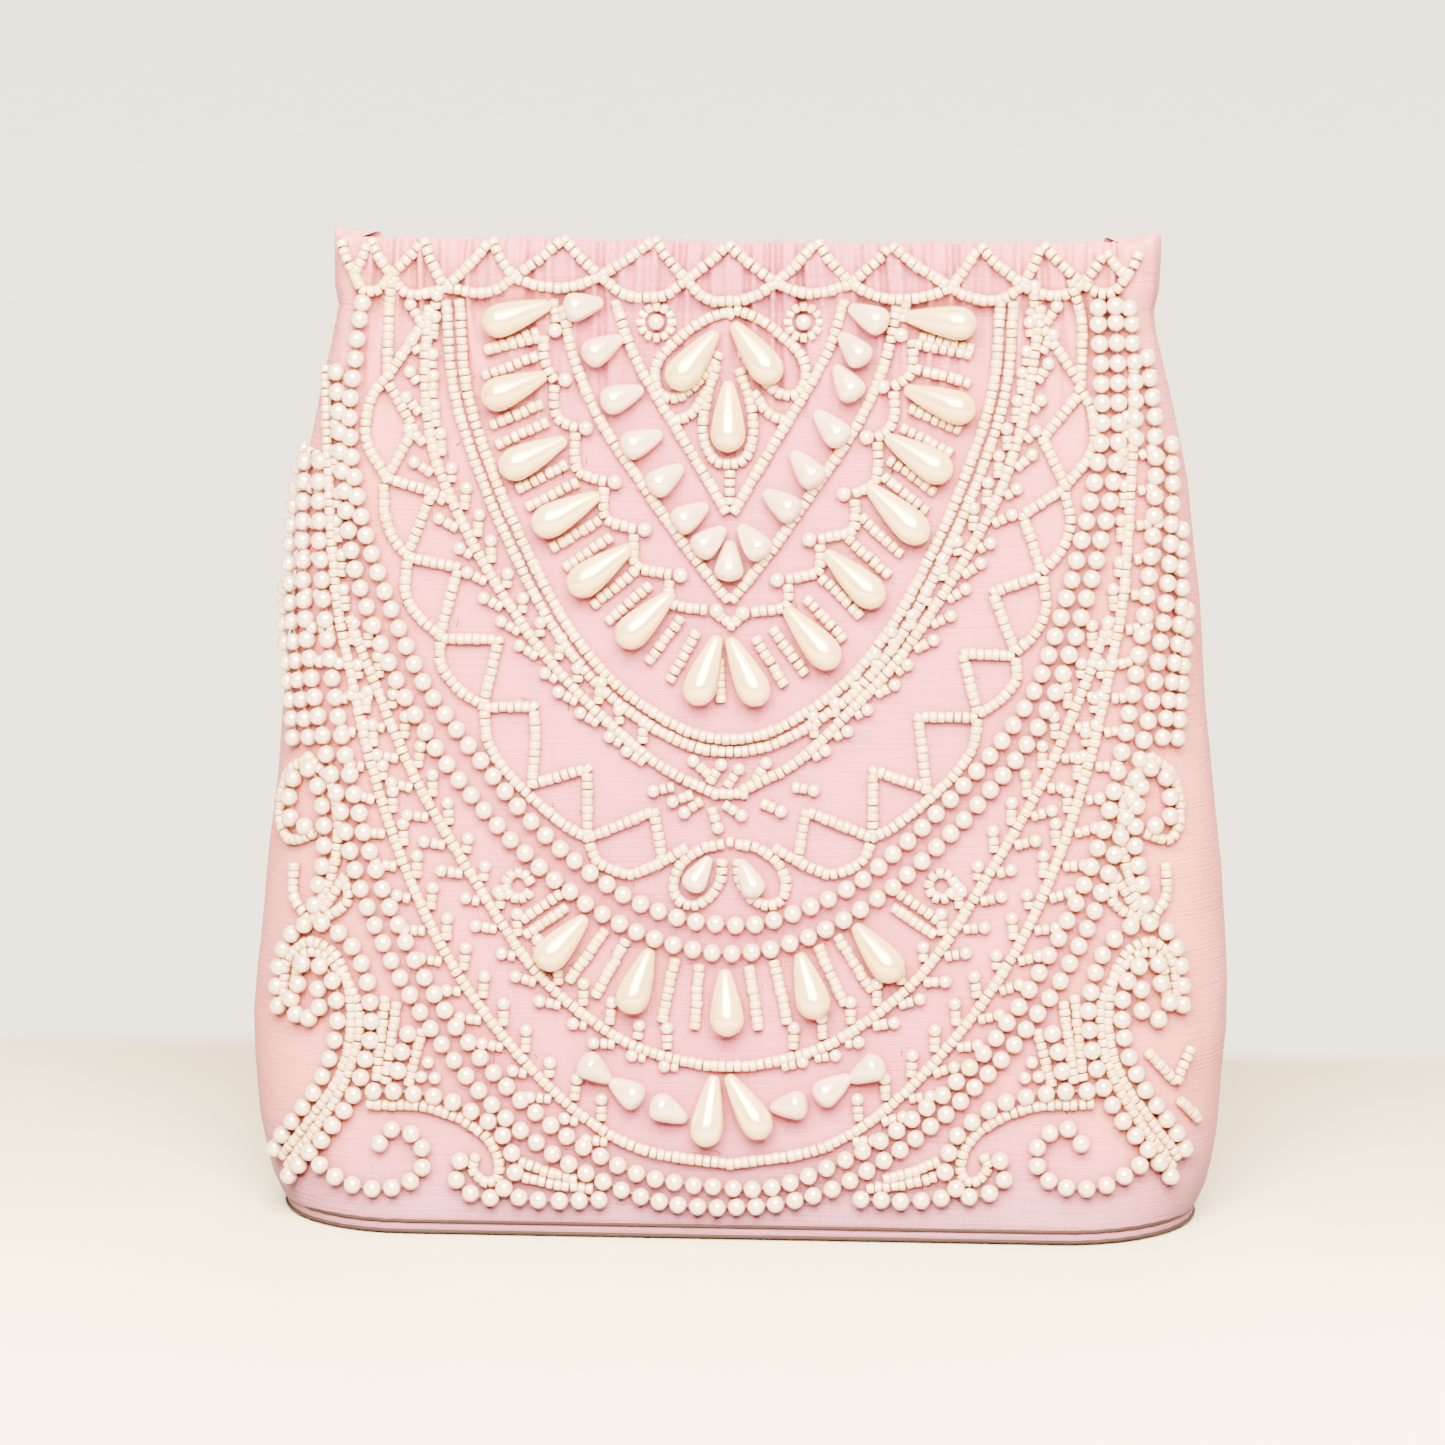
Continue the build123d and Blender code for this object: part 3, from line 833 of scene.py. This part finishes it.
SILK = silk("silk_pink", (0.66, 0.20, 0.345), (0.80, 0.285, 0.325), (0.42, 0.21, 0.36))
LINING = silk("silk_lining", (0.80, 0.42, 0.42), (0.80, 0.42, 0.42), (0.7, 0.38, 0.42))
PEARL_WHITE = pearl("pearl_white", (0.95, 0.80, 0.70), (0.93, 0.70, 0.60), 0.2, 0.34)
PEARL_CREAM = pearl("pearl_cream", (0.95, 0.77, 0.47), (0.93, 0.68, 0.38), 0.22, 0.36)
SEED_CREAM = pearl("seed_cream", (0.90, 0.73, 0.53), (0.82, 0.56, 0.36), 0.32, 0.08)
WELT = plain_material("welt_brown", (0.035, 0.012, 0.012), 0.4, 900.0, 0.8, 0.0001)
# Thread colour: partly the strands' real thread, partly painted shade in the gaps between beads.
THREAD_AND_GAP_SHADE = plain_material("thread_and_gap_shade", (0.34, 0.17, 0.11), 0.3, 600.0, 0.85)
STEEL = plain_material("frame_steel", (0.62, 0.62, 0.63), 0.15, 260.0, 0.32, Metallic=1.0)
STITCH = plain_material("stitch_brown", (0.10, 0.03, 0.03), 0.3, 900.0, 0.85)


def dress(obj, mat):
    obj.data.materials.clear()
    obj.data.materials.append(mat)
    return obj


# ----- cloth pieces

BACK_LOWER = 0.9


def bend(obj):
    """Bakes the piece's transform into its mesh."""
    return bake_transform(obj)


def gather(x, z):
    """Fine vertical pleats drawn up in the hem, dying away down the bag."""
    warp = noise.noise(Vector((x * 0.11, z * 0.03, 1.7))) * 2.4
    fine = math.sin(x * 2.9 + warp * 2.0 + 0.05 * z)
    wide = math.sin(x * 1.25 + warp * 3.1)
    uneven = 0.65 + 0.55 * noise.noise(Vector((x * 0.21, z * 0.05, 6.2)))
    hem = smooth(z, 158.5, 163)
    below = smooth(z, 128, 159) * (1 - hem)
    return uneven * (hem * (0.6 * fine + 0.8 * wide) + below * (0.28 * fine + 0.8 * wide))


def hem_line():
    """Heights of the cloth from the sole to the hem's top, closer together where it gathers."""
    low = list(np.arange(2.0, 150, 1.9))
    return low + list(np.arange(150, 170.6, 0.72)) + [170.6, 171.1, 171.4]


def sag(x):
    return -0.5 * math.cos(clamp(abs(x) / 70) * math.pi / 2) + 0.4 * noise.noise(Vector((x * 0.13, 4.4, 0.2)))


def hem_rise(x, z, sy):
    """How far the hem's top is moved up or down; the back's lies lower."""
    return (sag(x) - (BACK_LOWER if sy > 0 else 0.0)) * smooth(z, 161, 171)


def wall_rows(half, sy):
    """Half of the front or back silk: up the wall, over the top and down the hem's inner side."""
    sx = -1 if half == "left" else 1
    rows = []
    for z in hem_line():
        reach = corner(z) + (2.6 if z < 150 else 2.6 - 4.2 * smooth(z, 150, 158))
        row = []
        for t in np.linspace(0, 1, 150):
            x = sx * t * reach
            p = skin(x, z, gather(x, z), sy)[0]
            row.append(Vector((p.x, p.y, p.z + hem_rise(x, z, sy))))
        rows.append(row)
    for y, z in path("3.9,171.3 3.2,170.7 2.95,169.8 2.9,167 2.9,164 2.95,160.5 3.1,158.5"):
        row = []
        for t in np.linspace(0, 1, 150):
            x = sx * t * (corner(171) - 1.6)
            row.append(Vector((x, sy * (y + gather(x, 172) * 0.6), z + hem_rise(x, z, sy))))
        rows.append(row)
    return rows


def lining_rows(half, sy):
    """Half of the front or back lining, up to the hem."""
    sx = -1 if half == "left" else 1
    rows = []
    for z in list(np.arange(4.5, 158, 4.0)) + [159.5]:
        row = []
        reach = corner(z) + (1.0 if z < 140 else 1.0 - 3.0 * smooth(z, 140, 159))
        for t in np.linspace(0, 1, 50):
            x = sx * t * reach
            y = max(2.9, depth(z) - 3.0)
            ripple = 0.25 * noise.noise(Vector((x * 0.09, z * 0.06, 8.8)))
            row.append(Vector((x, sy * (y + ripple), z)))
        rows.append(row)
    return rows


def side_rows(sx, inset, tuck, levels):
    """The rounded side from the front crease to the back one."""
    rows, around = [], 64
    for z in levels:
        c, w = corner(z), half_width(z, sx)
        row = []
        for k in range(around + 1):
            a = -math.pi / 2 + math.pi * k / around
            x = c + (w - c) * math.cos(a)
            y = depth(z) * math.sin(a)
            n = Vector((math.cos(a) / (w - c), math.sin(a) / depth(z), 0)).normalized()
            soft = puff(sx * x, z) * abs(math.sin(a))
            crease = 0.35 * noise.noise(Vector((k * 0.09, z * 0.05, 2.0 + sx)))
            shift = soft * 0.9 + crease * math.cos(a) ** 2 - inset
            row.append(Vector((sx * (x + n.x * shift), y + n.y * shift, z)))
        if tuck:
            y = depth(z) - 0.7 - inset + puff(sx * c, z) * 0.9
            front = [Vector((sx * (c - tuck * k / 4), -y, z)) for k in (4, 3, 2, 1)]
            back = [Vector((sx * (c - tuck * k / 4), y, z)) for k in (1, 2, 3, 4)]
            row = front + row + back
        rows.append(row)
    return rows


def sewn(name, rows, middle_x, middle_z, mat):
    """A sheet with its faces turned away from a point in the middle plane, and its material."""
    obj = grid(name, rows)
    middle = Vector((middle_x, 0, middle_z))
    work = bmesh.new()
    work.from_mesh(obj.data)
    if sum((face.calc_center_median() - middle).dot(face.normal) * face.calc_area() for face in work.faces) < 0:
        bmesh.ops.reverse_faces(work, faces=work.faces[:])
    work.to_mesh(obj.data)
    work.free()
    return dress(obj, mat)


for face, sy in (("front", -1), ("back", 1)):
    for half in ("left", "right"):
        cloth = sewn(f"{face}_silk_{half}", wall_rows(half, sy), 0, 0.08, SILK)
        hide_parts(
            f"{face}_panel_{half}", f"{face}_hem_{half}", f"{face}_interlining_{half}",
            *([f"{face}_panel_middle", f"{face}_interlining_middle"] if half == "left" else []),
        )
        bend(cloth)
        inner = sewn(f"{face}_inside_{half}", lining_rows(half, sy), 0, 0.08, LINING)
        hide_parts(f"{face}_lining_{half}", *([f"{face}_lining_middle"] if half == "left" else []))
        bend(inner)

SIDE_LEVELS = list(np.arange(2.0, 155, 1.9)) + [155.6]
EAR_LEVELS = (155.5, 157, 158.2, 159, 159.8, 161, 162.5, 164, 165.5, 167, 168.2, 169.2, 170)
# How far each closing row stands above the last level, and how much of its size it keeps.
EAR_CLOSING = path("0.5,0.985 0.95,0.94 1.2,0.86 1.25,0.74 1.1,0.58 0.9,0.4 0.75,0.2 0.7,0.02")
for side, sx in (("left", -1), ("right", 1)):
    gusset = sewn(f"{side}_side_silk", side_rows(sx, 0.0, 7.0, SIDE_LEVELS), sx * 0.05, 0.08, SILK)
    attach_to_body(gusset, f"{side}_side")
    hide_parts(f"gusset_{side}")
    rows = side_rows(sx, 2.2, 0.0, np.arange(4.5, 158, 5.0))
    inner = sewn(f"{side}_side_lining", rows, sx * 0.05, 0.08, LINING)
    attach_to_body(inner, f"{side}_side")
    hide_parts(f"gusset_lining_{side}")

    # the hem's end wraps round the frame's end, drawn up to a small peak
    ear_rows = side_rows(sx, 0.0, 4.0, EAR_LEVELS)
    top = ear_rows[-1]
    middle = Vector((sx * 66.0, 0, 0))
    for rise, keep in EAR_CLOSING:
        row = []
        for v in top:
            angle = math.atan2(v.y, sx * (v.x - middle.x))
            peak = 1.7 * max(0.0, math.cos(angle)) ** 2 + 0.35 * noise.noise(Vector((v.x * 0.5, v.y * 0.5, 3.3)))
            fold = 0.5 * math.exp(-((angle + 0.75) / 0.16) ** 2)
            p = middle + (Vector((v.x, v.y, 0)) - middle) * (keep - fold * 0.12)
            row.append(Vector((p.x, p.y, 170 + rise + (peak - fold) * min(1.0, keep * 1.1))))
        ear_rows.append(row)
    ear = sewn(f"{side}_ear_silk", ear_rows, sx * 0.06, 0.165, SILK)
    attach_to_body(ear, f"{side}_side")
    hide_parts(f"ear_{side}")

# --- sole, welts, board and floor lining


def stadium(reach, half_depth, count=60):
    """Points round the sole's outline."""
    out = []
    for start, middle in ((-math.pi / 2, reach - half_depth), (math.pi / 2, half_depth - reach)):
        for k in range(count):
            a = start + math.pi * k / (count - 1)
            out.append((middle + half_depth * math.cos(a), half_depth * math.sin(a)))
    return out


def stadium_solid(name, reach, half_depth, low, high, round_by):
    """A slab with the sole's outline and rounded edges."""
    shells = []
    steps = [(low, -round_by), (low + round_by * 0.4, -round_by * 0.25), (low + round_by, 0.0),
             (high - round_by, 0.0), (high - round_by * 0.4, -round_by * 0.25), (high, -round_by)]
    for z, inset in steps:
        shells.append([Vector((x, y, z)) for x, y in stadium(reach + inset, half_depth + inset)])
    n = len(shells[0])
    verts = [v * MM for shell in shells for v in shell]
    faces = tube_faces(len(shells), n)
    faces.append(tuple(reversed(range(n))))
    faces.append(tuple((len(shells) - 1) * n + j for j in range(n)))
    return mesh_object(name, verts, faces)


def cord_ring(name, reach, half_depth, z, radius):
    """A thin cord round the sole."""
    ring = stadium(reach, half_depth, 70)
    n, m = len(ring), 8
    verts = []
    for i in range(n):
        a, b = ring[i - 1], ring[(i + 1) % n]
        dx, dy = unit(b[0] - a[0], b[1] - a[1])
        out = Vector((dy, -dx, 0))
        middle = Vector((*ring[i], z + 0.05 * math.sin(i * 1.7)))
        for k in range(m):
            t = 2 * math.pi * k / m
            verts.append((middle + out * (radius * math.cos(t)) + Vector((0, 0, radius * math.sin(t)))) * MM)
    return mesh_object(name, verts, tube_faces(n, m, True, flip=True))


SOLE_X, SOLE_Y = 79.3, 22.6
sole = stadium_solid("sole_silk", SOLE_X + 0.5, SOLE_Y + 0.5, 0.05, 1.95, 0.4)
dress(sole, SILK)
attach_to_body(sole, "base")
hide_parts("sole")
for name, node, z in (("upper_seam", "upper_welt", 2.1), ("lower_seam", "lower_welt", 0.32)):
    ring = cord_ring(name, SOLE_X + 0.62, SOLE_Y + 0.62, z, 0.3)
    dress(ring, WELT)
    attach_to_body(ring, "base")
    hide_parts(node)
floor_cloth = stadium_solid("floor_lining", SOLE_X - 4, SOLE_Y - 2.6, 2.2, 4.4, 0.5)
dress(floor_cloth, LINING)
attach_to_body(floor_cloth, "base")
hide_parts("base_lining", "base_board")

STRIP_LOW, STRIP_HIGH, STRIP_Y, STRIP_THICK = 161.6, 169.4, 4.45, 0.22


def ribbon(line, low, high):
    """Verts and quads of a thin band that stands on a line in plan."""
    verts = []
    for i, (x, y) in enumerate(line):
        a, b = line[max(0, i - 1)], line[min(len(line) - 1, i + 1)]
        dx, dy = unit(b[0] - a[0], b[1] - a[1])
        nx, ny = -dy * STRIP_THICK, dx * STRIP_THICK
        verts += [(x + nx, y + ny, low), (x + nx, y + ny, high), (x - nx, y - ny, high), (x - nx, y - ny, low)]
    last = (len(line) - 1) * 4
    return verts, tube_faces(len(line), 4) + [(3, 2, 1, 0), (last, last + 1, last + 2, last + 3)]


for face, sy, lugs in (("front", -1, ((161.6, 164.0), (167.0, 169.4))), ("back", 1, ((164.3, 166.7),))):
    for half, sx in (("left", -1), ("right", 1)):
        band = [(sx * x, sy * STRIP_Y) for x in np.linspace(0.9, 61.0, 41)]
        turns = np.linspace(math.radians(118), math.radians(-190), 26)
        eye = [(sx * (PIN_X + 1.5 * math.cos(t)), sy * 1.5 * math.sin(t)) for t in turns]
        reach = [(sx * 61.0, sy * STRIP_Y), (sx * 62.6, sy * 4.2), (sx * 64.2, sy * 2.6)] + eye
        verts, faces = [], []
        for line, low, high in [(band, STRIP_LOW, STRIP_HIGH)] + [(reach, low, high) for low, high in lugs]:
            more, quads = ribbon(line, low, high)
            faces += [tuple(v + len(verts) for v in quad) for quad in quads]
            verts += more
        strip = mesh_object(f"{face}_spring_{half}", [Vector(v) * MM for v in verts], faces, False)
        dress(strip, STEEL)
        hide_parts(f"{face}_strip_{half}")
        bend(strip)

PIN = lathe(path("0,0.05 0.05,0.95 0.35,1.6 0.7,1.6 0.8,1 8.6,1 8.7,1.6 9.05,1.6 9.4,0.95 9.45,0.05"), 20)
for half, sx in (("left", -1), ("right", 1)):
    pin = instanced(f"{half}_pin", PIN, [((sx * PIN_X, 0, 160.9), (0, 0, 1), (1, 0, 0), (1, 1, 1))])
    dress(pin, STEEL)
    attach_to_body(pin, f"front_{half}")
    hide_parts(f"end_pin_{half}")

# ----- beads become pieces


def place_of(x, z, side=-1):
    """Which piece a bead belongs to: a half of the wall, or a rounded side."""
    half = "left" if x < 0 else "right"
    limit = corner(z) + (1.6 if z < 156 else -1.2)
    if abs(x) > limit:
        return f"{half}_side"
    return f"{'front' if side < 0 else 'back'}_{half}"


def grouped(items, key):
    """The items in groups with the same key, in the keys' order."""
    groups = {}
    for item in items:
        groups.setdefault(key(item), []).append(item)
    return sorted(groups.items())


def by_place(items):
    return grouped(items, lambda item: place_of(*item[4:7]))


def attach(obj, place):
    if place.endswith("_side"):
        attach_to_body(obj, place)
    else:
        bend(obj)


for label, items, template, mat in (("seeds", seeds, SEED, SEED_CREAM), ("pearls", pearls, PEARL, PEARL_WHITE)):
    for place, group in by_place(items):
        obj = instanced(f"{label}_{place}", template, [item[:4] for item in group])
        dress(obj, mat)
        attach(obj, place)

DROP_NODES = {
    "fan_left": ["fan_drops_left", "heart_drops_left", "fan_drops_middle", "heart_drops_middle", "trefoil_drops"],
    "fan_right": ["fan_drops_right", "heart_drops_right"],
    "foot_left": ["lower_fan_drops", "foot_drops", "centre_foot_drops"],
    "foot_right": [],
}


def drop_key(item):
    return ("foot" if item[5] < 80 else "fan") + ("_left" if item[4] < 0.01 else "_right")


for key, group in grouped(drops, drop_key):
    for cream, mat in ((1, PEARL_CREAM), (0, PEARL_WHITE)):
        chosen = [d for d in group if d[6] == cream]
        if not chosen:
            continue
        obj = instanced(f"drops_{key}_{'large' if cream else 'small'}", DROP, [item[:4] for item in chosen])
        dress(obj, mat)
        if cream and DROP_NODES[key]:
            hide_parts(*DROP_NODES[key])
        attach(obj, "front_" + key.split("_")[1])

# --- the thread that runs through each strand, its dark brown partly painted shade in the gaps between beads


def thread_tubes(name, lines, radius=0.28, around=5):
    """One mesh of thin tubes along the lines."""
    verts, faces = [], []
    for line in lines:
        base = len(verts)
        for i, p in enumerate(line):
            t = (line[min(i + 1, len(line) - 1)] - line[max(i - 1, 0)]).normalized()
            a = t.cross(Vector((0.1, 1, 0.2))).normalized()
            b = t.cross(a)
            for k in range(around):
                turn = 2 * math.pi * k / around
                verts.append((p + a * (radius * math.cos(turn)) + b * (radius * math.sin(turn))) * MM)
        faces += tube_faces(len(line), around, base=base)
    return mesh_object(name, verts, faces)


runs = {}
for line, middle, side in cores:
    piece = []
    for p in line:
        where = place_of(p.x, p.z, side)
        if piece and where != piece[0]:
            runs.setdefault(piece[0], []).append(piece[1] + [p])
            piece = []
        if not piece:
            piece = [where, []]
        piece[1].append(p)
    runs.setdefault(piece[0], []).append(piece[1])
for where, lines in sorted(runs.items()):
    obj = thread_tubes(f"thread_{where}", [line for line in lines if len(line) > 1])
    dress(obj, THREAD_AND_GAP_SHADE)
    attach(obj, where)

# --- tiny brown thread ends between the beads

THREAD = lathe([(-0.5, 0.07), (0.5, 0.05)], 5)
threads = []
for _ in range(150):
    seed_x, seed_z, side = rng.choice(seeds)[4:]
    if side > 0 or seed_z > HEM_LOW:
        continue
    x, z = seed_x + rng.uniform(-2.4, 2.4), seed_z + rng.uniform(-2.4, 2.4)
    if z < 5 or abs(x) > half_width(z, x) - 6:
        continue
    p, n = skin(x, z, 0.12)
    a = rng.choice((math.pi / 2, math.pi / 2, rng.uniform(0, math.pi)))
    threads.append((p, Vector((math.cos(a), 0.1, math.sin(a))), n, (rng.uniform(0.5, 1.5), 1.0, 1.0), x, z, -1))
for place, group in by_place(threads):
    obj = instanced(f"threads_{place}", THREAD, [item[:4] for item in group])
    dress(obj, STITCH)
    attach(obj, place)

# ----- floor, backdrop, camera, light

# One flat sheet of paper, so that it never hides the bag from behind. The grey wall of the
# photograph is the part of the sheet past WALL_Y, which fills the same part of the picture.
FLOOR_COLOUR, WALL_GLOW = (0.96, 0.93, 0.80), (0.79, 0.68, 0.56)
WALL_Y, WALL_FADE = 0.112, 0.012
FLOOR_REACH, FLOOR_DROP = 5000.0, 0.4
steps = np.linspace(-FLOOR_REACH, FLOOR_REACH, 21)
sweep = grid("backdrop", [[(x, y, -FLOOR_DROP) for x in steps] for y in steps])
mat, tree, shader = material("backdrop_paper", Roughness=0.9, Specular_IOR_Level=0.1, Emission_Strength=4.5)
where = object_coords(tree)
split = add(tree, "SeparateXYZ", {"Vector": where})
beyond = math_node(tree, "MULTIPLY", math_node(tree, "SUBTRACT", split.outputs["Y"], WALL_Y), 1 / WALL_FADE, True)
fibres = noise_node(tree, where, 60.0, 6.0, 0.6)
# Painted shade: the floor is darker towards the back, standing in for the lamps' light falling off.
distance = math_node(tree, "ADD", 0.5, math_node(tree, "MULTIPLY", split.outputs["Y"], 4.6), True)
floor_painted_falloff = mix(tree, distance, FLOOR_COLOUR, tuple(c * 0.52 for c in FLOOR_COLOUR))
cloud = ramp(tree, fibres, [(0.3, (0.97, 0.97, 0.97)), (0.7, (1.0, 1.0, 1.0))])
paper = mix(tree, beyond, floor_painted_falloff, (0.02, 0.02, 0.02))
tree.links.new(multiply(tree, paper, cloud), shader.inputs["Base Color"])
# Painted light: past WALL_Y the sheet glows by its own emission rather than being lit by the lamps.
glow = mix(tree, beyond, (0.0, 0.0, 0.0), WALL_GLOW)
tree.links.new(multiply(tree, glow, cloud), shader.inputs["Emission Color"])
sweep.data.materials.append(mat)
sweep.visible_diffuse = False

camera_data = bpy.data.cameras.new("camera")
camera_data.lens = camera_data.sensor_width * DISTANCE / FRAME_WIDTH
camera_data.clip_start = 0.05
camera = linked("camera", camera_data)
camera.location = (TARGET + BACKWARDS * DISTANCE) * MM
camera.rotation_euler = BACKWARDS.to_track_quat("Z", "Y").to_euler()
bpy.context.scene.camera = camera


# Each light's place, what it aims at, its two sizes and its power.
LIGHT = (1.0, 0.82, 0.56)
LIGHTS = {
    "key_upper": ((0.05, -1.02, 1.00), (0, 0, 0.09), 1.10, 0.42, 112.0),
    "key_lower": ((0.05, -1.25, 0.68), (0, 0, 0.09), 1.10, 0.26, 74.0),
    "dome": ((0.05, -0.75, 1.30), (0, 0, 0.09), 1.5, 0.9, 54.0),
    "sky": ((0, -1.0, 1.25), (0, -0.6, 0.0), 1.2, 0.7, 24.0),
    "left_fill": ((-1.1, -0.55, 0.5), (0, 0, 0.08), 0.8, 0.8, 3.0),
    "right_fill": ((1.1, -0.6, 0.5), (0, 0, 0.08), 0.8, 0.8, 4.0),
    "back_fill": ((0.3, 1.5, 0.9), (0, 0, 0.08), 1.4, 0.8, 80.0),
}
for name, (place, aim, size_x, size_y, power) in LIGHTS.items():
    data = bpy.data.lights.new(name, "AREA")
    data.shape = "RECTANGLE"
    data.size, data.size_y = size_x, size_y
    data.energy = power
    data.color = LIGHT
    light = linked(name, data)
    light.location = place
    light.rotation_euler = (Vector(aim) - Vector(place)).to_track_quat("-Z", "Y").to_euler()

world = bpy.data.worlds.new("world")
world.use_nodes = True
background = world.node_tree.nodes["Background"]
background.inputs["Color"].default_value = (*LIGHT, 1)
background.inputs["Strength"].default_value = 0.10
bpy.context.scene.world = world

# ----- size of what shows

bpy.context.view_layer.update()
print("beads", len(seeds), "pearls", len(pearls), "drops", len(drops))
